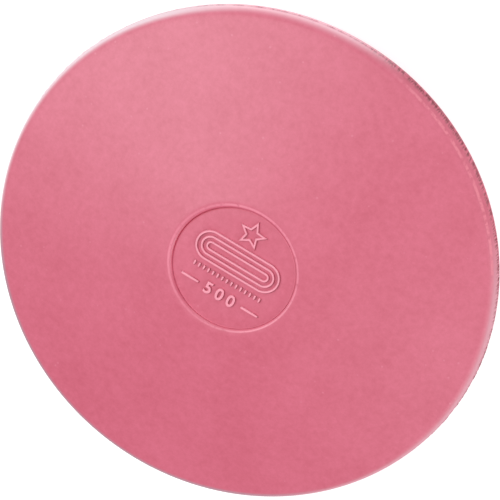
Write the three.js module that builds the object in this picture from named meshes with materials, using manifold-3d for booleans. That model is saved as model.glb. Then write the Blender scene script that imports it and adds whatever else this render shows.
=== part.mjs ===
// A moulded rubber throwing discus of the half kilogram school class.
// It lies flat on one face, with +Z up, the origin under its middle, and all lengths in millimetres.
// Two rubber halves meet at the parting plane of their mould and hold a steel weight plate between them.
// A rubber medallion with raised marks is let into the middle of each face.
// +X is the reading direction of the marks on the upper face.
import * as THREE from "three";
import { mergeVertices } from "three/addons/utils/BufferGeometryUtils.js";
import Module from "manifold-3d";

const wasm = await Module();
wasm.setup();

// Disc: a straight conical flank on each face and a thin rim with well rounded corners
const discDiameter = 165;
const centreThickness = 30;
const rimThickness = 7.5;
const rimCornerRadius = 3;

// Medallion: a rubber disc let into a shallow recess, a little below the face around it
const medallionDiameter = 40.5;
const medallionThickness = 2;
const medallionSink = 0.8;
const medallionFit = 0.3;
const medallionEdgeRadius = 0.3;
const recessDraft = 0.35;
const recessLipRadius = 0.8;

// Rest ring: the narrow flat round the recess that the disc lies on, up to the flank
const restRingWidth = 0.8;
const flankBlendRadius = 5;

// Weight plate: a steel disc with holes, which the upper half's rubber keys fill
const plateDiameter = 60;
const plateThickness = 3;
const plateFit = 0.3;
const keyHoleDiameter = 6;
const keyCircleDiameter = 40;
const keyCount = 6;
const keyFit = 0.3;

// Marks: how far they stand up, how far they root in the medallion, and the width of their lines
const markRise = 0.6;
const markRoot = 0.4;
const markLine = 0.8;

// Star above the track
const starRadius = 5.2;
const starWaistShare = 0.45;
const starPoints = 5;
const starCentreUp = 13.3;

// Running track: ovals one inside the next
const trackLength = 30;
const trackWidth = 10.6;
const trackLaneStep = 1.8;
const trackLaneCount = 3;
const trackCentreUp = 2.8;

// Row of short bars under the track
const barCount = 15;
const barRowLength = 24.5;
const barWidth = 0.8;
const barHeight = 1.7;
const barRowUp = -4.9;

// The class in plain figures, 500 for its grams, between two dashes
const figureHeight = 4.3;
const figureWidth = 2.8;
const figureGap = 1.3;
const figureLine = 0.9;
const figureRowUp = -10.2;
const dashLength = 6.4;
const dashGap = 2.2;

// Fineness of round faces
const roundSides = 72;
const keySides = 24;
const trackSides = 12;
const endSides = 4;
const cornerSteps = 4;
const cutOverrun = 1;

const discRadius = discDiameter / 2;
const partingHeight = centreThickness / 2;
const medallionRadius = medallionDiameter / 2;
const recessRadius = medallionRadius + medallionFit;
const recessFloor = partingHeight - medallionSink - medallionThickness;
const lipRadius = recessRadius + recessDraft;
const flankFootRadius = lipRadius + recessLipRadius + restRingWidth;
const plateRadius = plateDiameter / 2;
const plateHalf = plateThickness / 2;

const moulded = { roughness: 0.55, metalness: 0 };
const faceRubber = new THREE.MeshStandardMaterial({ color: 0xdb7488, ...moulded });
const medallionRubber = new THREE.MeshStandardMaterial({ color: 0xdb768a, ...moulded });
const plateSteel = new THREE.MeshStandardMaterial({ color: 0x8b8f94, roughness: 0.4, metalness: 1 });

// A closed geometry as a solid that can be joined and cut.
function solidOf(geometry) {
  const bare = geometry.index ? geometry.toNonIndexed() : geometry.clone();
  bare.deleteAttribute("normal");
  bare.deleteAttribute("uv");
  const merged = mergeVertices(bare);
  const corners = merged.index.array;
  const kept = [];
  for (let i = 0; i < corners.length; i += 3) {
    const [a, b, c] = corners.slice(i, i + 3);
    if (a !== b && b !== c && c !== a) kept.push(a, b, c);
  }
  return new wasm.Manifold(
    new wasm.Mesh({
      numProp: 3,
      vertProperties: merged.attributes.position.array,
      triVerts: new Uint32Array(kept),
    }),
  );
}

// A solid as a named mesh of the assembly.
function meshOf(solid, name, material) {
  const { numProp, numVert, vertProperties, triVerts } = solid.getMesh();
  const positions = new Float32Array(numVert * 3);
  for (let i = 0; i < numVert; i++) {
    positions.set(vertProperties.subarray(i * numProp, i * numProp + 3), i * 3);
  }
  const geometry = new THREE.BufferGeometry();
  geometry.setAttribute("position", new THREE.BufferAttribute(positions, 3));
  geometry.setIndex(new THREE.BufferAttribute(new Uint32Array(triVerts), 1));
  geometry.computeVertexNormals();
  const mesh = new THREE.Mesh(geometry, material);
  mesh.name = name;
  return mesh;
}

function joined(solids) {
  return solids.reduce((all, solid) => all.add(solid));
}

// Points of the arc that rounds one corner of an outline, no further than a share of each edge there.
function roundedCorner(before, at, after, radius, backShare, aheadShare) {
  const back = before.clone().sub(at);
  const ahead = after.clone().sub(at);
  const halfAngle = Math.acos(back.dot(ahead) / (back.length() * ahead.length())) / 2;
  const room = Math.min(back.length() * backShare, ahead.length() * aheadShare);
  const reach = Math.min(radius / Math.tan(halfAngle), room);
  const start = at.clone().addScaledVector(back.normalize(), reach);
  const end = at.clone().addScaledVector(ahead.normalize(), reach);
  const inward = back.add(ahead).normalize();
  const centre = at.clone().addScaledVector(inward, reach / Math.cos(halfAngle));
  const from = start.clone().sub(centre);
  const to = end.sub(centre);
  const turn = Math.atan2(from.cross(to), from.dot(to));
  return Array.from({ length: cornerSteps + 1 }, (_, i) =>
    start.clone().rotateAround(centre, (turn * i) / cornerSteps),
  );
}

// An outline from its corners: each a radius from the axis, a height and, where it is rounded, that radius.
// An edge between two rounded corners is shared by them, and one with a sharp corner is nearly all free.
function outlineOf(corners) {
  const points = corners.map(([r, z]) => new THREE.Vector2(r, z));
  const share = (i) => (corners[i][2] ? 0.5 : 0.95);
  return corners.flatMap(([, , radius], i) =>
    radius
      ? roundedCorner(points[i - 1], points[i], points[i + 1], radius, share(i - 1), share(i + 1))
      : [points[i]],
  );
}

// A solid of revolution about the Z axis.
function turned(outline) {
  const standUp = new THREE.Matrix4().set(1, 0, 0, 0, 0, 0, -1, 0, 0, 1, 0, 0, 0, 0, 0, 1);
  return solidOf(new THREE.LatheGeometry(outline, roundSides).applyMatrix4(standUp));
}

// A round bar along Z between two heights.
function roundBar(place, diameter, low, high, sides) {
  const geometry = new THREE.CylinderGeometry(diameter / 2, diameter / 2, high - low, sides);
  geometry.rotateX(Math.PI / 2);
  return solidOf(geometry.translate(place.x, place.y, (low + high) / 2));
}

// One half of the disc: radius, and height above the parting plane.
function halfOutline() {
  const pocketRadius = plateRadius + plateFit;
  return outlineOf([
    [0, plateHalf],
    [pocketRadius, plateHalf],
    [pocketRadius, 0],
    [discRadius, 0],
    [discRadius, rimThickness / 2, rimCornerRadius],
    [flankFootRadius, partingHeight, flankBlendRadius],
    [lipRadius, partingHeight, recessLipRadius],
    [recessRadius, partingHeight - medallionSink],
    [recessRadius, recessFloor],
    [0, recessFloor],
  ]);
}

// Where the keys stand, on a circle in the pocket.
function keyPlaces() {
  return Array.from({ length: keyCount }, (_, i) => {
    const angle = (i * 2 * Math.PI) / keyCount;
    return new THREE.Vector2(keyCircleDiameter / 2, 0).rotateAround(new THREE.Vector2(), angle);
  });
}

// The upper half, whose keys reach through the plate to the lower half.
function upperHalf() {
  const outline = halfOutline().map(({ x, y }) => new THREE.Vector2(x, partingHeight + y));
  const foot = partingHeight - plateHalf;
  const root = partingHeight + plateHalf + cutOverrun;
  const diameter = keyHoleDiameter - 2 * keyFit;
  const keys = keyPlaces().map((place) => roundBar(place, diameter, foot, root, keySides));
  return joined([turned(outline), ...keys]);
}

// The lower half, plain inside.
function lowerHalf() {
  const outline = halfOutline().map(({ x, y }) => new THREE.Vector2(x, partingHeight - y));
  return turned(outline.reverse());
}

// The weight plate, with a hole for each key.
function weightPlate() {
  const low = partingHeight - plateHalf;
  const high = partingHeight + plateHalf;
  const holes = keyPlaces().map((place) =>
    roundBar(place, keyHoleDiameter, low - cutOverrun, high + cutOverrun, keySides),
  );
  return roundBar(new THREE.Vector2(), plateDiameter, low, high, roundSides).subtract(joined(holes));
}

// A flat shape as a mark, from its root in the medallion to its top.
function raised(shape, sides = endSides) {
  const options = { depth: markRoot + markRise, bevelEnabled: false, curveSegments: sides };
  return solidOf(new THREE.ExtrudeGeometry(shape, options).translate(0, 0, -markRoot));
}

// A path of two straight sides and round ends about the origin, drawn into a shape or a hole.
function drawOval(path, length, width) {
  const straight = (length - width) / 2;
  path.absarc(straight, 0, width / 2, -Math.PI / 2, Math.PI / 2, false);
  path.absarc(-straight, 0, width / 2, Math.PI / 2, (3 * Math.PI) / 2, false);
  path.closePath();
  return path;
}

// An oval line of one width.
function ovalRing(length, width, line, sides) {
  const shape = drawOval(new THREE.Shape(), length, width);
  shape.holes.push(drawOval(new THREE.Path(), length - 2 * line, width - 2 * line));
  return raised(shape, sides);
}

// A straight line with round ends between two points.
function stroke([x0, y0], [x1, y1], line) {
  const along = new THREE.Vector2(x1 - x0, y1 - y0);
  const shape = drawOval(new THREE.Shape(), along.length() + line, line);
  const turn = THREE.MathUtils.radToDeg(along.angle());
  return raised(shape).rotate([0, 0, turn]).translate([(x0 + x1) / 2, (y0 + y1) / 2, 0]);
}

// A five-pointed star in outline. Its hole is the same star, smaller by the line's width all round.
function starMark() {
  const corners = Array.from({ length: 2 * starPoints }, (_, i) => {
    const reach = i % 2 ? starRadius * starWaistShare : starRadius;
    return new THREE.Vector2(0, reach).rotateAround(new THREE.Vector2(), (i * Math.PI) / starPoints);
  });
  const [tip, waist] = corners;
  const edgeDistance = Math.abs(tip.cross(waist)) / tip.distanceTo(waist);
  const holeShare = 1 - markLine / edgeDistance;
  const shape = new THREE.Shape(corners);
  shape.holes.push(new THREE.Path(corners.map((corner) => corner.clone().multiplyScalar(holeShare))));
  return raised(shape).translate([0, starCentreUp, 0]);
}

// Ovals one inside the next, like the lanes of a running track.
function trackMark() {
  const lanes = Array.from({ length: trackLaneCount }, (_, i) => {
    const inset = 2 * i * trackLaneStep;
    return ovalRing(trackLength - inset, trackWidth - inset, markLine, trackSides);
  });
  return joined(lanes).translate([0, trackCentreUp, 0]);
}

// A row of short upright bars.
function barRowMark() {
  const reach = (barHeight - barWidth) / 2;
  const first = (barWidth - barRowLength) / 2;
  const step = (barRowLength - barWidth) / (barCount - 1);
  const bars = Array.from({ length: barCount }, (_, i) => {
    const x = first + i * step;
    return stroke([x, -reach], [x, reach], barWidth);
  });
  return joined(bars).translate([0, barRowUp, 0]);
}

// A nought about its own middle.
function nought() {
  return ovalRing(figureHeight, figureWidth, figureLine).rotate([0, 0, 90]);
}

// A five about its own middle: a flag, a stem and an open bowl.
function five() {
  const side = (figureWidth - figureLine) / 2;
  const top = (figureHeight - figureLine) / 2;
  const bowl = new THREE.Vector2(0, side - top);
  const bowlFrom = (3 * Math.PI) / 4;
  const bowlSweep = (-3 * Math.PI) / 2;
  const bowlSteps = 2 * cornerSteps;
  const round = Array.from({ length: bowlSteps + 1 }, (_, i) => {
    const angle = bowlFrom + (bowlSweep * i) / bowlSteps;
    return new THREE.Vector2(side, 0).rotateAround(new THREE.Vector2(), angle).add(bowl).toArray();
  });
  const line = [[side, top], [-side, top], ...round];
  return joined(line.slice(1).map((point, i) => stroke(line[i], point, figureLine)));
}

// The figures 500 between two dashes.
function figureRowMark() {
  const step = figureWidth + figureGap;
  const figures = [five(), nought(), nought()].map((figure, i) => figure.translate([(i - 1) * step, 0, 0]));
  const rowEnd = step + figureWidth / 2;
  const from = rowEnd + dashGap + figureLine / 2;
  const to = rowEnd + dashGap + dashLength - figureLine / 2;
  const dashes = [-1, 1].map((side) => stroke([side * from, 0], [side * to, 0], figureLine));
  return joined([...figures, ...dashes]).translate([0, figureRowUp, 0]);
}

// A medallion on its back at height zero, with its marks up.
function medallion() {
  const blank = turned(
    outlineOf([
      [0, 0],
      [medallionRadius, 0],
      [medallionRadius, medallionThickness, medallionEdgeRadius],
      [0, medallionThickness],
    ]),
  );
  const marks = joined([starMark(), trackMark(), barRowMark(), figureRowMark()]);
  return blank.add(marks.translate([0, 0, medallionThickness]));
}

const upperMedallion = medallion().translate([0, 0, partingHeight + recessFloor]);
const lowerMedallion = medallion().rotate([180, 0, 0]).translate([0, 0, partingHeight - recessFloor]);

const discus = new THREE.Group();
discus.add(
  meshOf(upperHalf(), "upper_half", faceRubber),
  meshOf(lowerHalf(), "lower_half", faceRubber),
  meshOf(weightPlate(), "weight_plate", plateSteel),
  meshOf(upperMedallion, "upper_medallion", medallionRubber),
  meshOf(lowerMedallion, "lower_medallion", medallionRubber),
);
export default discus;
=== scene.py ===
# A moulded rubber throwing discus of the half kilogram school class, flat on a white sheet of paper.
# The frame gives its place and main sizes in metres, with +Z up out of the upper face and +X the
# reading direction of the marks. Sizes that the frame can't give are named in millimetres, times mm.
import math

import bmesh
import bpy
from mathutils import Matrix, Vector


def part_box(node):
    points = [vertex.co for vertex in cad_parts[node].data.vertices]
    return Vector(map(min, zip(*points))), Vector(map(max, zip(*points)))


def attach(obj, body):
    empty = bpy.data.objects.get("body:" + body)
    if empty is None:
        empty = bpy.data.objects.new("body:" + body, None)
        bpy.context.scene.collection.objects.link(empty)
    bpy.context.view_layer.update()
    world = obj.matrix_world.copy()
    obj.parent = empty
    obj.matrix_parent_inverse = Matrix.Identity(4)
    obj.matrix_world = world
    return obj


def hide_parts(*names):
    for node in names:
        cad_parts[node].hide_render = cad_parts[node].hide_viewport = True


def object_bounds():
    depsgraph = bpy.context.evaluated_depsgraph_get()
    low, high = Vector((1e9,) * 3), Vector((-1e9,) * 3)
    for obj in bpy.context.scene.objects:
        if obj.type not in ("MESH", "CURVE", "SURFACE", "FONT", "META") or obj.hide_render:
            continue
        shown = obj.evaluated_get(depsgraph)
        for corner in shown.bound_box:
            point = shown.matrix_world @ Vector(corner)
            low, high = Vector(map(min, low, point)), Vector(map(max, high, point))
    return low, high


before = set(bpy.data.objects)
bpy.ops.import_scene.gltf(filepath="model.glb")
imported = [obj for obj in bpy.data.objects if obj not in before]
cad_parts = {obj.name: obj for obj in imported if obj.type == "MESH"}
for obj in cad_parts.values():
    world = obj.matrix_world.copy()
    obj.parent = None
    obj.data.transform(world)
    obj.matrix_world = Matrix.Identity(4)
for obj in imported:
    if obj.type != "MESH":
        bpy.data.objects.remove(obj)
cad_low, cad_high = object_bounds()
mm = 0.001

# Weight plate
# A disc punched from cold rolled steel sheet, with six round holes. It is laid between the two
# rubber blanks in the mould, which brings the disc up to its weight, and it never shows again.
plate_low, plate_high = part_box("weight_plate")
plate_radius = plate_high.x
plate_thickness = plate_high.z - plate_low.z
parting_height = (plate_low.z + plate_high.z) / 2
plate_sides = 128
hole_diameter = 6 * mm
hole_circle_diameter = 40 * mm
hole_count = 6
hole_sides = 48
sheared_edge_radius = 0.25 * mm
sharp_edge_angle = math.radians(60)
plate_smooth_angle = math.radians(30)


def only(piece):
    """Leaves one piece selected and active."""
    bpy.ops.object.select_all(action="DESELECT")
    piece.select_set(True)
    bpy.context.view_layer.objects.active = piece


def new_piece(name):
    """Names the primitive that was just added, and puts its place into its mesh."""
    piece = bpy.context.object
    piece.name = piece.data.name = name
    only(piece)
    bpy.ops.object.transform_apply(location=True, rotation=True, scale=True)
    return piece


def edit(piece):
    """Opens a piece in edit mode with nothing selected."""
    only(piece)
    bpy.ops.object.mode_set(mode="EDIT")
    bpy.ops.mesh.select_all(action="DESELECT")


def done():
    bpy.ops.object.mode_set(mode="OBJECT")


def pick(kind, test):
    """Selects the open mesh's faces, edges or vertices that pass a test, and nothing else."""
    bpy.ops.mesh.select_mode(type={"faces": "FACE", "edges": "EDGE", "verts": "VERT"}[kind])
    bpy.ops.mesh.select_all(action="DESELECT")
    mesh = bmesh.from_edit_mesh(bpy.context.object.data)
    for part in getattr(mesh, kind):
        part.select_set(bool(test(part)))
    bmesh.update_edit_mesh(bpy.context.object.data)


def apply_modifier(piece, kind, **settings):
    """Adds a modifier with its settings to a piece and applies it."""
    only(piece)
    bpy.ops.object.modifier_add(type=kind)
    modifier = piece.modifiers[-1]
    for setting, value in settings.items():
        setattr(modifier, setting, value)
    bpy.ops.object.modifier_apply(modifier=modifier.name)


def combine(piece, operation, others):
    """Joins other solids to a piece, or cuts them from it, and removes them."""
    for other in others:
        apply_modifier(piece, "BOOLEAN", operation=operation, object=other, solver="EXACT")
        only(other)
        bpy.ops.object.delete()


def hole_bars(radius, low, high):
    """Round bars along Z where the plate's holes are."""
    bars = []
    for turn in range(hole_count):
        angle = turn * math.tau / hole_count
        reach = hole_circle_diameter / 2
        place = (reach * math.cos(angle), reach * math.sin(angle), (low + high) / 2)
        bpy.ops.mesh.primitive_cylinder_add(
            vertices=hole_sides, radius=radius, depth=high - low, location=place
        )
        bars.append(new_piece("round_bar"))
    return bars


bpy.ops.mesh.primitive_cylinder_add(
    vertices=plate_sides,
    radius=plate_radius,
    depth=plate_thickness,
    location=(0, 0, parting_height),
)
weight_plate = new_piece("steel_weight_plate")
punch_low = plate_low.z - plate_thickness
punch_high = plate_high.z + plate_thickness
combine(weight_plate, "DIFFERENCE", hole_bars(hole_diameter / 2, punch_low, punch_high))
apply_modifier(
    weight_plate,
    "BEVEL",
    width=sheared_edge_radius,
    segments=3,
    limit_method="ANGLE",
    angle_limit=sharp_edge_angle,
)
only(weight_plate)
bpy.ops.object.shade_smooth_by_angle(angle=plate_smooth_angle)


def linear(colour):
    """An sRGB hex colour as linear RGBA."""
    channels = [int(colour[i : i + 2], 16) / 255 for i in (1, 3, 5)]
    return [c / 12.92 if c <= 0.04045 else ((c + 0.055) / 1.055) ** 2.4 for c in channels] + [1]


def new_material(name):
    """An empty node material, and its coordinates in the piece's own metres."""
    material = bpy.data.materials.new(name)
    material.use_nodes = True
    material.node_tree.nodes.clear()
    place = material.node_tree.nodes.new("ShaderNodeTexCoord").outputs["Object"]
    return material, place


def socket(sockets, key=0):
    """A socket in use, by its name or its number."""
    used = [s for s in sockets if s.enabled]
    return used[key] if isinstance(key, int) else next(s for s in used if s.name == key)


def add_node(material, kind, settings):
    """Adds a node with its settings. A node, or a node's output, is linked to the socket it is for."""
    node = material.node_tree.nodes.new(kind)
    for key, value in settings.items():
        if isinstance(value, bpy.types.Node):
            value = socket(value.outputs)
        if isinstance(value, bpy.types.NodeSocket):
            material.node_tree.links.new(value, socket(node.inputs, key))
        elif hasattr(node, str(key)):
            setattr(node, key, value)
        else:
            socket(node.inputs, key).default_value = value
    return node


def finish_piece(piece, material, slot, *nodes):
    """Gives a piece its material and its body, and lets it stand for its CAD nodes."""
    piece.data.materials.clear()
    piece.data.materials.append(material)
    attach(piece, "root")
    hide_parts(*nodes)


# Cold rolled steel sheet, sheared and punched: a soft grey metal with fine rolling lines along X
# and a faint blotchiness from the mill.
rolling_line_width = 0.3 * mm
rolling_line_length = 25 * mm
rolling_relief = 0.01 * mm
blotch_size = 9 * mm
steel, steel_place = new_material("cold_rolled_steel_sheet")
line_scale = (1 / rolling_line_length, 1 / rolling_line_width, 1 / rolling_line_width)
rolling_place = add_node(
    steel, "ShaderNodeMapping", {"Scale": line_scale, "Vector": steel_place}
)
rolling = add_node(
    steel, "ShaderNodeTexNoise", {"Scale": 1, "Detail": 3, "Vector": rolling_place}
)
blotches = add_node(
    steel, "ShaderNodeTexNoise", {"Scale": 1 / blotch_size, "Detail": 4, "Vector": steel_place}
)
steel_shades = {"Factor": blotches, "A": linear("#84888d"), "B": linear("#a3a6aa")}
steel_colour = add_node(steel, "ShaderNodeMix", {"data_type": "RGBA", **steel_shades})
steel_roughness = add_node(
    steel, "ShaderNodeMapRange", {"Value": rolling, "To Min": 0.3, "To Max": 0.5}
)
steel_bump = add_node(
    steel, "ShaderNodeBump", {"Strength": 0.3, "Distance": rolling_relief, "Height": rolling}
)
steel_surface = add_node(
    steel,
    "ShaderNodeBsdfPrincipled",
    {
        "Base Color": steel_colour,
        "Metallic": 1,
        "Roughness": steel_roughness,
        "Normal": steel_bump,
    },
)
add_node(steel, "ShaderNodeOutputMaterial", {"Surface": steel_surface})
finish_piece(weight_plate, steel, "plate_steel", "weight_plate")

# Upper and lower half
# Pink natural rubber, pressed and vulcanised in a steel mould of two halves. Each half has a shallow
# recess in a narrow flat ring, a straight conical flank and half of a well rounded rim. Where the
# mould closes a thin flash is squeezed out round the rim, and it is trimmed and buffed by hand.
disc_radius = cad_high.x
face_height = cad_high.z
disc_sides = 576
rim_half = 3.75 * mm
rim_corner_radius = 3 * mm
flank_foot_radius = 22.5 * mm
flank_blend_radius = 5 * mm
flash_rise = 0.3 * mm
flash_half_thickness = 0.3 * mm
flash_raggedness = 0.12 * mm
flash_seed = 7
medallion_low, medallion_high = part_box("upper_medallion")
medallion_radius = medallion_high.x
medallion_fit = 0.04 * mm
medallion_sink = 0.8 * mm
recess_radius = medallion_radius + medallion_fit
recess_draft = 0.35 * mm
recess_top_radius = recess_radius + recess_draft
recess_lip_radius = 0.9 * mm
recess_floor = medallion_low.z
plate_fit = 0.3 * mm
key_fit = 0.3 * mm
level_limit = 0.9
rubber_smooth_angle = math.radians(40)
wall_radius = disc_radius - flash_rise
flank_slope = math.atan2(face_height - parting_height - rim_half, wall_radius - flank_foot_radius)


def from_axis(point):
    return math.hypot(point.x, point.y)


def raise_face(height, radius, new_radius):
    """Extrudes the selected round face up by a height and brings it to a new radius."""
    bpy.ops.mesh.extrude_region_move(TRANSFORM_OT_translate={"value": (0, 0, height)})
    share = new_radius / radius
    bpy.ops.transform.resize(value=(share, share, 1), center_override=(0, 0, 0))


def pick_ring(radius, height):
    """Selects the ring of edges at a radius and a height."""
    near = 0.02 * mm

    def on_ring(vert):
        return abs(from_axis(vert.co) - radius) < near and abs(vert.co.z - height) < near

    pick("edges", lambda edge: all(on_ring(vert) for vert in edge.verts))


def round_ring(radius, height, corner_radius, corner_angle, steps):
    """Rounds the ring of edges at a radius and a height. The angle is the one inside the corner."""
    pick_ring(radius, height)
    reach = corner_radius / math.tan(corner_angle / 2)
    bpy.ops.mesh.bevel(offset=reach, segments=steps, profile=0.5, affect="EDGES")


bpy.ops.mesh.primitive_cylinder_add(
    vertices=disc_sides,
    radius=wall_radius,
    depth=rim_half,
    end_fill_type="NGON",
    location=(0, 0, parting_height + rim_half / 2),
)
upper_half = new_piece("rubber_upper_half")
edit(upper_half)
pick("faces", lambda face: face.normal.z > level_limit)
raise_face(face_height - parting_height - rim_half, wall_radius, flank_foot_radius)
raise_face(0, flank_foot_radius, recess_top_radius)
raise_face(-medallion_sink, recess_top_radius, recess_radius)
raise_face(recess_floor - face_height + medallion_sink, recess_radius, recess_radius)
pick("faces", lambda face: face.normal.z < -level_limit)
raise_face(0, wall_radius, plate_radius + plate_fit)
raise_face(plate_thickness / 2, plate_radius + plate_fit, plate_radius + plate_fit)
rim_corner_angle = math.pi / 2 + flank_slope
flank_foot_angle = math.pi - flank_slope
recess_lip_angle = math.pi / 2 + math.atan2(recess_draft, medallion_sink)
round_ring(
    wall_radius, parting_height + rim_half, rim_corner_radius, rim_corner_angle, steps=12
)
round_ring(flank_foot_radius, face_height, flank_blend_radius, flank_foot_angle, steps=4)
round_ring(recess_top_radius, face_height, recess_lip_radius, recess_lip_angle, steps=5)

# The flash: a thin ridge on the parting plane, uneven from the trimming knife
bpy.ops.mesh.select_all(action="SELECT")
bpy.ops.mesh.bisect(
    plane_co=(0, 0, parting_height + flash_half_thickness), plane_no=(0, 0, 1)
)
pick(
    "verts",
    lambda vert: abs(vert.co.z - parting_height) < flash_half_thickness / 2
    and from_axis(vert.co) > wall_radius - flash_rise,
)
flash_share = (disc_radius - flash_raggedness) / wall_radius
bpy.ops.transform.resize(value=(flash_share, flash_share, 1), center_override=(0, 0, 0))
bpy.ops.transform.vertex_random(offset=flash_raggedness, normal=1, seed=flash_seed)
bpy.ops.transform.resize(value=(1, 1, 0), center_override=(0, 0, parting_height))
done()
apply_modifier(upper_half, "TRIANGULATE")

# The lower half is the same shape turned over, so it is modelled once and mirrored.
only(upper_half)
bpy.ops.object.duplicate()
lower_half = bpy.context.object
lower_half.name = lower_half.data.name = "rubber_lower_half"
edit(lower_half)
bpy.ops.mesh.select_all(action="SELECT")
bpy.ops.transform.resize(value=(1, 1, -1), center_override=(0, 0, parting_height))
bpy.ops.mesh.normals_make_consistent(inside=False)
done()

# Rubber keys of the upper half fill the plate's holes.
key_foot = plate_low.z
key_root = plate_high.z + plate_thickness
combine(upper_half, "UNION", hole_bars(hole_diameter / 2 - key_fit, key_foot, key_root))
for half in (upper_half, lower_half):
    only(half)
    bpy.ops.object.shade_smooth_by_angle(angle=rubber_smooth_angle)

# The rubber as it leaves the mould: a pink that is cloudy from mixing and mottled from the blasted
# mould, with a satin bloom of wax, and here and there a speck of talc.
cloud_size = 20 * mm
mottle_size = 2.4 * mm
mottle_relief = 0.02 * mm
speck_gap = 4 * mm
speck_radius = 0.6 * mm


def axis_distance(material, place):
    """How far a place is from the disc's axis."""
    flat = add_node(
        material, "ShaderNodeVectorMath", {"operation": "MULTIPLY", 0: place, 1: (1, 1, 0)}
    )
    return add_node(material, "ShaderNodeVectorMath", {"operation": "LENGTH", 0: flat})


def parting_distance(material, place):
    """How far a place is above or below the parting plane."""
    height = add_node(material, "ShaderNodeSeparateXYZ", {"Vector": place}).outputs["Z"]
    above = add_node(
        material, "ShaderNodeMath", {"operation": "SUBTRACT", 0: height, 1: parting_height}
    )
    return add_node(material, "ShaderNodeMath", {"operation": "ABSOLUTE", 0: above})


def mixed_rubber(material, place):
    """The colour of the rubber, with its clouds, mottling and specks of talc, and the mottling."""
    mottle_settings = {"Scale": 1 / mottle_size, "Detail": 3, "Roughness": 0.8}
    mottle = add_node(material, "ShaderNodeTexNoise", {**mottle_settings, "Vector": place})
    clouds = add_node(
        material, "ShaderNodeTexNoise", {"Scale": 1 / cloud_size, "Detail": 2, "Vector": place}
    )
    tint = add_node(material, "ShaderNodeMix", {"Factor": 0.65, "A": clouds, "B": mottle})
    shades = {"Factor": tint, "A": linear("#ba3f58"), "B": linear("#e0718b")}
    colour = add_node(material, "ShaderNodeMix", {"data_type": "RGBA", **shades})
    cells = add_node(
        material, "ShaderNodeTexVoronoi", {"Scale": 1 / speck_gap, "Vector": place}
    )
    chance = add_node(material, "ShaderNodeSeparateColor", {"Color": cells.outputs["Color"]})
    spread = {"operation": "DIVIDE", 0: cells.outputs["Distance"], 1: chance}
    reach = add_node(material, "ShaderNodeMath", spread)
    speck = speck_radius / speck_gap
    return coat_or_painted_light(material, colour, "#d46f84", (reach, speck, speck / 4)), mottle


def coat_or_painted_light(material, colour, shade, *covers):
    """A colour under a coat or painted light of one shade. Each cover: a value, and where it starts and
    is full.
    """
    whole = 1
    for value, start, full in covers:
        limits = {"Value": value, "From Min": start, "From Max": full}
        cover = add_node(
            material, "ShaderNodeMapRange", {"interpolation_type": "SMOOTHSTEP", **limits}
        )
        whole = add_node(material, "ShaderNodeMath", {"operation": "MULTIPLY", 0: cover, 1: whole})
    shades = {"Factor": whole, "A": colour, "B": linear(shade)}
    return add_node(material, "ShaderNodeMix", {"data_type": "RGBA", **shades})


def level_direction(bearing):
    return (math.cos(bearing), math.sin(bearing), 0)


def toward(material, place, bearing):
    """How far round a place lies towards a bearing, from -1 on the other side to 1."""
    flat = add_node(
        material, "ShaderNodeVectorMath", {"operation": "MULTIPLY", 0: place, 1: (1, 1, 0)}
    )
    outward = add_node(material, "ShaderNodeVectorMath", {"operation": "NORMALIZE", 0: flat})
    settings = {"operation": "DOT_PRODUCT", 0: outward, 1: level_direction(bearing)}
    return add_node(material, "ShaderNodeVectorMath", settings).outputs["Value"]


def facing(material, direction):
    """How squarely the surface faces a direction, from -1 to 1."""
    normal = add_node(material, "ShaderNodeTexCoord", {}).outputs["Normal"]
    settings = {"operation": "DOT_PRODUCT", 0: normal, 1: direction}
    return add_node(material, "ShaderNodeVectorMath", settings).outputs["Value"]


def rubber_surface(material, colour, mottle, roughness):
    """The satin surface of moulded rubber."""
    bump = add_node(material, "ShaderNodeBump", {"Distance": mottle_relief, "Height": mottle})
    surface = add_node(
        material,
        "ShaderNodeBsdfPrincipled",
        {
            "Base Color": colour,
            "Roughness": roughness,
            "IOR": 1.52,
            "Specular IOR Level": 1,
            "Normal": bump,
        },
    )
    add_node(material, "ShaderNodeOutputMaterial", {"Surface": surface})


# Both faces and the rim. The lip of the recess is rubbed pale, a little off centre, and the pale ring
# is also a painted highlight, painted weaker where the lip lies in shade. In the corner below the lip
# a painted shadow lies on the side towards the light, and painted light on the far side lightens its
# shade. The rim is buffed, with dark short strokes across it next to the trimmed flash. It is dusty
# on one side, with painted shade on its corner and wall on the next. Its shoulder carries a painted
# highlight on one side, and beside that painted highlights lie on its corner and on its wall.
painted_light_bearing = math.radians(155)
shade_bearing = math.radians(255)
dust_bearing = math.radians(337)
shoulder_highlight_bearing = math.radians(53)
wall_highlight_bearing = math.radians(112)
corner_highlight_bearing = math.radians(165)
lip_wear_and_highlight_shift = 0.4 * mm
patch_size = 1.5 * mm
stroke_width = 0.55 * mm
stroke_length = 4 * mm
moulded_roughness = 0.5
buffed_roughness = 0.7
lip_end = recess_top_radius + recess_lip_radius
rub_and_highlight_inner_start = lip_end - 0.9 * mm
rub_and_highlight_inner_full = lip_end - 0.5 * mm
rub_and_highlight_outer_full = lip_end - 0.2 * mm
rub_and_highlight_outer_start = lip_end + 0.25 * mm
recess_shade_start = recess_top_radius + 0.2 * mm
recess_shade_full = recess_top_radius - 0.1 * mm
face_rubber, face_place = new_material("moulded_pink_rubber")
face_colour, face_mottle = mixed_rubber(face_rubber, face_place)
face_reach = axis_distance(face_rubber, face_place)
face_rise = parting_distance(face_rubber, face_place)
to_painted_light = toward(face_rubber, face_place, painted_light_bearing)
to_shade = toward(face_rubber, face_place, shade_bearing)
to_dust = toward(face_rubber, face_place, dust_bearing)
to_shoulder_highlight = toward(face_rubber, face_place, shoulder_highlight_bearing)
to_wall_highlight = toward(face_rubber, face_place, wall_highlight_bearing)
to_corner_highlight = toward(face_rubber, face_place, corner_highlight_bearing)
upwards = facing(face_rubber, (0, 0, 1))
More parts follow.
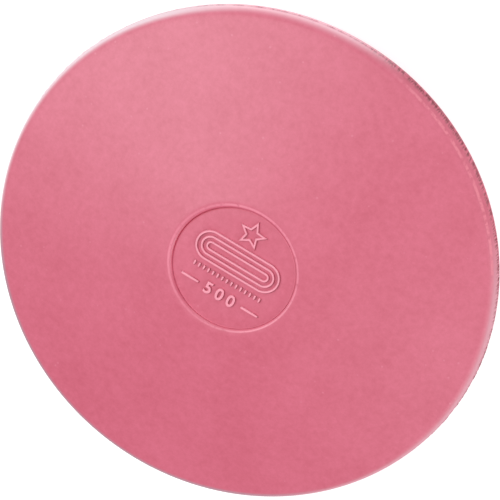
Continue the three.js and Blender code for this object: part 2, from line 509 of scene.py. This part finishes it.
flatness = add_node(face_rubber, "ShaderNodeMath", {"operation": "ABSOLUTE", 0: upwards})
patches = add_node(
    face_rubber,
    "ShaderNodeTexNoise",
    {"Scale": 1 / patch_size, "Detail": 2, "Vector": face_place},
)
wear_and_highlight_shift = Vector(level_direction(painted_light_bearing)) * lip_wear_and_highlight_shift
wear_and_highlight_place = add_node(
    face_rubber, "ShaderNodeVectorMath", {"operation": "SUBTRACT", 0: face_place, 1: wear_and_highlight_shift}
)
wear_and_highlight_reach = axis_distance(face_rubber, wear_and_highlight_place)
in_recess = (face_reach, recess_shade_start, recess_shade_full)
# Painted highlight with rubbing: the pale lip ring, weaker where the lip lies in shade.
face_colour = coat_or_painted_light(
    face_rubber,
    face_colour,
    "#e67f95",
    (wear_and_highlight_reach, rub_and_highlight_inner_start, rub_and_highlight_inner_full),
    (wear_and_highlight_reach, rub_and_highlight_outer_start, rub_and_highlight_outer_full),
    (to_painted_light, 1.3, 0.7),
    (to_shade, 1.4, 0.5),
    (patches, 0.2, 0.5),
)
# Painted light: the recess corner lightened on the side away from the light, where its wall is lit.
face_colour = coat_or_painted_light(face_rubber, face_colour, "#dc6e85", in_recess, (to_painted_light, 0.2, -0.3))
# Painted shadow: the recess corner darkened on the side towards the light, below the lip.
face_colour = coat_or_painted_light(face_rubber, face_colour, "#c23655", in_recess, (to_painted_light, 0.4, 1.05))
stroke_scale = (1 / stroke_width, 1 / stroke_width, 1 / stroke_length)
stroke_place = add_node(
    face_rubber, "ShaderNodeMapping", {"Scale": stroke_scale, "Vector": face_place}
)
strokes = add_node(
    face_rubber, "ShaderNodeTexNoise", {"Scale": 1, "Detail": 3, "Vector": stroke_place}
)
on_rim = (face_reach, wall_radius - rim_corner_radius, wall_radius - rim_corner_radius / 2)
near_flash = (face_rise, rim_half * 0.75, rim_half * 0.15)
face_colour = coat_or_painted_light(
    face_rubber, face_colour, "#d48f9e", on_rim, (flatness, 0.95, 0.55), (to_dust, 0.4, 0.75)
)
# Painted shade: the rim's corner and wall darker on one side.
face_colour = coat_or_painted_light(
    face_rubber, face_colour, "#b07c8c", on_rim, (flatness, 0.985, 0.75), (to_shade, 0.4, 0.8)
)
# Painted highlight: a pale line on the rim's shoulder on one side.
shoulder = ((flatness, 0.89, 0.82), (flatness, 0.6, 0.72), (patches, 0.3, 0.6))
face_colour = coat_or_painted_light(face_rubber, face_colour, "#e07a8c", on_rim, *shoulder, (to_shoulder_highlight, 0.86, 0.95))
# Dark short strokes across the rim next to the trimmed flash.
face_colour = coat_or_painted_light(
    face_rubber, face_colour, "#8a2238", on_rim, near_flash, (strokes, 0.44, 0.56)
)
# Painted highlight: the rim's wall pale on one side.
on_wall = ((upwards, 0.93, 0), (upwards, -1, -0.5))
face_colour = coat_or_painted_light(face_rubber, face_colour, "#f4bac7", on_rim, *on_wall, (to_wall_highlight, 0.82, 0.97))
# Painted highlight: the rim's corner pale beside the wall's.
face_colour = coat_or_painted_light(
    face_rubber, face_colour, "#e3c9d1", on_rim, (flatness, 0.93, 0.4), (to_corner_highlight, 0.62, 0.92)
)
face_roughness = add_node(
    face_rubber,
    "ShaderNodeMapRange",
    {
        "Value": face_reach,
        "From Min": wall_radius - rim_corner_radius,
        "From Max": wall_radius,
        "To Min": moulded_roughness,
        "To Max": buffed_roughness,
    },
)
rubber_surface(face_rubber, face_colour, face_mottle, face_roughness)
finish_piece(upper_half, face_rubber, "face_rubber", "upper_half")
finish_piece(lower_half, face_rubber, "face_rubber", "lower_half")

# Medallions
# Thin rubber inlays of the same batch, pressed in a small engraved mould and let into the recess of
# each face. The engraver's round cutter leaves raised marks with soft tops: a star, the lanes of a
# running track, a row of bars, and the figures 500 between two dashes.
medallion_thickness = 2 * mm
medallion_sides = 192
medallion_edge_radius = 0.15 * mm
medallion_face = medallion_low.z + medallion_thickness
mark_top = medallion_high.z
mark_root = 0.4 * mm
mark_round = 0.3 * mm
mark_line = 0.8 * mm
lane_sides = 64
small_mark_sides = 16
upright_limit = 0.1
star_radius = 5.2 * mm
star_waist_share = 0.45
star_points = 5
star_up = 13.3 * mm
track_length = 30 * mm
track_width = 10.6 * mm
track_lane_step = 1.8 * mm
track_lane_count = 3
track_up = 2.8 * mm
bar_count = 15
bar_row_length = 24.5 * mm
bar_width = 0.8 * mm
bar_height = 1.7 * mm
bar_row_up = -4.9 * mm
figure_height = 4.3 * mm
figure_width = 2.8 * mm
figure_gap = 1.3 * mm
figure_line = 0.9 * mm
figure_row_up = -10.2 * mm
dash_length = 6.4 * mm
dash_gap = 2.2 * mm
figure_swell = 0.2 * mm
font_height_share = 0.7
font_pitch_share = 0.5


def raise_mark(outline, line, at):
    """Raises a flat outline to a mark: a line of one width along it, or a solid where line is 0."""
    edit(outline)
    bpy.ops.mesh.select_all(action="SELECT")
    if line:
        bpy.ops.mesh.inset(thickness=line, use_boundary=True)
        bpy.ops.mesh.delete(type="FACE")
    bpy.ops.mesh.select_all(action="SELECT")
    height = mark_top - medallion_face + mark_root
    bpy.ops.mesh.extrude_region_move(TRANSFORM_OT_translate={"value": (0, 0, height)})
    bpy.ops.mesh.select_all(action="SELECT")
    bpy.ops.mesh.normals_make_consistent(inside=False)
    top = max(vert.co.z for vert in bmesh.from_edit_mesh(outline.data).verts)
    pick(
        "edges",
        lambda edge: all(vert.co.z > top - mark_root / 2 for vert in edge.verts)
        and any(abs(face.normal.z) < upright_limit for face in edge.link_faces),
    )
    bpy.ops.mesh.bevel(offset=mark_round, segments=4, profile=0.5, affect="EDGES")
    bpy.ops.mesh.select_all(action="SELECT")
    bpy.ops.transform.translate(value=(at[0], at[1], 0))
    done()
    return outline


def oval(length, width, sides):
    """A flat shape with straight sides and round ends, long in X, at the marks' root."""
    bpy.ops.mesh.primitive_circle_add(
        vertices=sides,
        radius=width / 2,
        fill_type="NGON",
        location=(0, 0, medallion_face - mark_root),
    )
    shape = new_piece("mark")
    edit(shape)
    near_middle = width / 1000
    for side in (1, -1):
        pick("verts", lambda vert: vert.co.x * side > near_middle)
        bpy.ops.transform.translate(value=(side * (length - width) / 2, 0, 0))
    done()
    return shape


def turned_upright(shape):
    """Turns a flat shape a quarter turn about Z."""
    edit(shape)
    bpy.ops.mesh.select_all(action="SELECT")
    bpy.ops.transform.rotate(value=math.pi / 2, orient_axis="Z", center_override=(0, 0, 0))
    done()
    return shape


marks = []
bpy.ops.mesh.primitive_circle_add(
    vertices=2 * star_points,
    radius=star_radius,
    fill_type="NGON",
    location=(0, 0, medallion_face - mark_root),
)
star = new_piece("mark")
edit(star)
first_tip = star.data.vertices[0].co.copy()


def is_waist(vert):
    turn = vert.co.xy.angle_signed(first_tip.xy) / math.tau * 2 * star_points
    return round(turn) % 2


pick("verts", is_waist)
bpy.ops.transform.resize(
    value=(star_waist_share, star_waist_share, 1), center_override=(0, 0, 0)
)
done()
marks.append(raise_mark(star, mark_line, (0, star_up)))

for lane in range(track_lane_count):
    inset = 2 * lane * track_lane_step
    lane_outline = oval(track_length - inset, track_width - inset, lane_sides)
    marks.append(raise_mark(lane_outline, mark_line, (0, track_up)))

bar_step = (bar_row_length - bar_width) / (bar_count - 1)
for place in range(bar_count):
    x = (bar_width - bar_row_length) / 2 + place * bar_step
    bar = turned_upright(oval(bar_height, bar_width, small_mark_sides))
    marks.append(raise_mark(bar, 0, (x, bar_row_up)))

dash_middle = figure_width * 1.5 + figure_gap + dash_gap + dash_length / 2
for side in (-1, 1):
    dash = oval(dash_length, figure_line, small_mark_sides)
    marks.append(raise_mark(dash, 0, (side * dash_middle, figure_row_up)))

# The figures are cut further apart than type is set, with lines as wide as the others.
figure_size = (figure_height - 2 * figure_swell) / font_height_share
weld_distance = figure_swell / 100
bpy.ops.object.text_add(location=(0, 0, 0))
figures = bpy.context.object
figures.data.body = "500"
figures.data.align_x = figures.data.align_y = "CENTER"
figures.data.size = figure_size
figures.data.space_character = (figure_width + figure_gap) / (font_pitch_share * figure_size)
figures.data.extrude = (mark_top - medallion_face + mark_root) / 2 - figure_swell
figures.data.bevel_depth = figure_swell
figures.data.bevel_resolution = 3
bpy.ops.object.convert(target="MESH")
figures = new_piece("mark")
corners = [Vector(corner) for corner in figures.bound_box]
figures_middle = sum(corners, Vector()) / len(corners)
figures_place = Vector((0, figure_row_up, (mark_top + medallion_face - mark_root) / 2))
edit(figures)
bpy.ops.mesh.select_all(action="SELECT")
bpy.ops.mesh.remove_doubles(threshold=weld_distance)
bpy.ops.transform.translate(value=figures_place - figures_middle)
done()
marks.append(figures)

bpy.ops.mesh.primitive_cylinder_add(
    vertices=medallion_sides,
    radius=medallion_radius,
    depth=medallion_thickness,
    location=(0, 0, medallion_low.z + medallion_thickness / 2),
)
upper_medallion = new_piece("rubber_upper_medallion")
edit(upper_medallion)
pick_ring(medallion_radius, medallion_face)
bpy.ops.mesh.bevel(offset=medallion_edge_radius, segments=5, profile=0.5, affect="EDGES")
done()
only(marks[0])
for mark in marks:
    mark.select_set(True)
bpy.ops.object.join()
combine(upper_medallion, "UNION", [bpy.context.object])
only(upper_medallion)
bpy.ops.object.shade_smooth_by_angle(angle=rubber_smooth_angle)

# The lower medallion is the upper one turned over about X, so its marks read right from below.
bpy.ops.object.duplicate()
lower_medallion = bpy.context.object
lower_medallion.name = lower_medallion.data.name = "rubber_lower_medallion"
lower_medallion.data.transform(
    Matrix.Translation((0, 0, parting_height))
    @ Matrix.Rotation(math.pi, 4, "X")
    @ Matrix.Translation((0, 0, -parting_height))
)

# The inlay is the same rubber. The tops of its marks are pale from wear and by a painted highlight,
# their sides towards the light carry a painted highlight, and those away from it a painted shade.
# Along the edge a painted shadow lies on the side towards the light, and painted light on the far
# side, as in the recess.
inlay_rubber, inlay_place = new_material("moulded_pink_rubber_inlay")
inlay_colour, inlay_mottle = mixed_rubber(inlay_rubber, inlay_place)
inlay_reach = axis_distance(inlay_rubber, inlay_place)
inlay_rise = parting_distance(inlay_rubber, inlay_place)
inlay_to_painted_light = toward(inlay_rubber, inlay_place, painted_light_bearing)
inlay_facing_light = facing(inlay_rubber, level_direction(painted_light_bearing))
marks_middle = (medallion_face + mark_top) / 2 - parting_height
marks_head = mark_top - parting_height
inlay_edge_start = medallion_radius - 0.6 * mm
inlay_edge_full = medallion_radius - 0.1 * mm
# Painted highlight with wear: the tops of the marks are pale.
inlay_colour = coat_or_painted_light(inlay_rubber, inlay_colour, "#f095a8", (inlay_rise, marks_middle, marks_head))
# Painted highlight: the marks' sides that face the light are pale.
inlay_colour = coat_or_painted_light(inlay_rubber, inlay_colour, "#ec95a9", (inlay_facing_light, 0.1, 0.6))
# Painted shade: the marks' sides that face away from the light are dark.
inlay_colour = coat_or_painted_light(inlay_rubber, inlay_colour, "#a02443", (inlay_facing_light, -0.1, -0.5))
inlay_edge = (inlay_reach, inlay_edge_start, inlay_edge_full)
# Painted shadow: the inlay's edge dark on the side towards the light, under the recess lip.
inlay_colour = coat_or_painted_light(inlay_rubber, inlay_colour, "#c23655", inlay_edge, (inlay_to_painted_light, 0.4, 1.05))
# Painted light: the inlay's edge lightened on the side away from the light.
inlay_colour = coat_or_painted_light(inlay_rubber, inlay_colour, "#dc6e85", inlay_edge, (inlay_to_painted_light, 0.2, -0.3))
rubber_surface(inlay_rubber, inlay_colour, inlay_mottle, moulded_roughness)
finish_piece(upper_medallion, inlay_rubber, "medallion_rubber", "upper_medallion")
finish_piece(lower_medallion, inlay_rubber, "medallion_rubber", "lower_medallion")

# Photographer's table
# A plain white sheet of paper, so bright that it hardly shows a shadow.
sheet_radius = 3
paper_grain_size = 2 * mm
paper_relief = 0.02 * mm
bpy.ops.mesh.primitive_circle_add(
    vertices=96, radius=sheet_radius, fill_type="NGON", location=(0, 0, 0)
)
table_sheet = new_piece("white_table_sheet")
paper, paper_place = new_material("white_paper_sheet")
paper_grain = add_node(
    paper, "ShaderNodeTexNoise", {"Scale": 1 / paper_grain_size, "Detail": 2, "Vector": paper_place}
)
paper_bump = add_node(
    paper, "ShaderNodeBump", {"Strength": 0.1, "Distance": paper_relief, "Height": paper_grain}
)
paper_surface = add_node(
    paper,
    "ShaderNodeBsdfPrincipled",
    {
        "Base Color": linear("#a0a0a0"),
        "Roughness": 0.9,
        "Specular IOR Level": 0.2,
        "Emission Color": (1, 1, 1, 1),
        "Emission Strength": 0.85,
        "Normal": paper_bump,
    },
)
add_node(paper, "ShaderNodeOutputMaterial", {"Surface": paper_surface})
table_sheet.data.materials.append(paper)

# Studio light
# A white room with four soft boxes: the key high on the side that the camera's picture has at its
# upper left, another lower beside it, a fill opposite, and a weak low one in front. Each box's
# share is the part of a level white surface's brightness that it gives.
room_brightness = 0.3
scene = bpy.context.scene
scene.view_settings.view_transform = "Standard"
scene.world = bpy.data.worlds.new("white_room")
scene.world.use_nodes = True
room_light = scene.world.node_tree.nodes["Background"]
room_light.inputs["Color"].default_value = (1, 1, 1, 1)
room_light.inputs["Strength"].default_value = room_brightness


def aim(thing, direction, distance, target):
    """Puts a light at a distance from its target, in a direction, facing the target."""
    thing.location = target + direction * distance
    thing.rotation_euler = direction.to_track_quat("Z", "Y").to_euler()


def soft_box(name, bearing, height, distance, width, share):
    """A square lamp in a direction, given as a bearing from +X and a height, in degrees."""
    bearing, height = math.radians(bearing), math.radians(height)
    direction = Vector(
        (
            math.cos(bearing) * math.cos(height),
            math.sin(bearing) * math.cos(height),
            math.sin(height),
        )
    )
    lamp = bpy.data.objects.new(name, bpy.data.lights.new(name, "AREA"))
    lamp.data.size = width
    lamp.data.energy = share * math.pi**2 * distance**2 / math.sin(height)
    aim(lamp, direction, distance, Vector((0, 0, face_height)))
    scene.collection.objects.link(lamp)


soft_box("key_soft_box", bearing=172, height=61, distance=1.5, width=1.1, share=0.475)
soft_box("side_soft_box", bearing=185, height=35, distance=1.5, width=0.9, share=0.135)
soft_box("fill_soft_box", bearing=341, height=30, distance=1.5, width=1.0, share=0.28)
soft_box("front_soft_box", bearing=85, height=20, distance=1.5, width=0.7, share=0.07)

# Camera
# A long lens a little off the vertical, with the marks running downhill to the right.
camera_tilt = math.radians(25)
camera_turn = math.radians(169.5)
camera_roll = math.radians(-139.5)
camera_distance = 1.44
camera_lens = 325.9
camera_sensor_width = 36
aim_right = 1.13 * mm
aim_up = 1.32 * mm
turned = (
    Matrix.Rotation(camera_turn, 4, "Z")
    @ Matrix.Rotation(camera_tilt, 4, "X")
    @ Matrix.Rotation(camera_roll, 4, "Z")
)
camera = bpy.data.objects.new("camera", bpy.data.cameras.new("camera"))
camera.data.sensor_width = camera_sensor_width
camera.data.lens = camera_lens
disc_middle = Matrix.Translation((0, 0, parting_height))
camera.matrix_world = disc_middle @ turned @ Matrix.Translation((aim_right, aim_up, camera_distance))
scene.collection.objects.link(camera)
scene.camera = camera
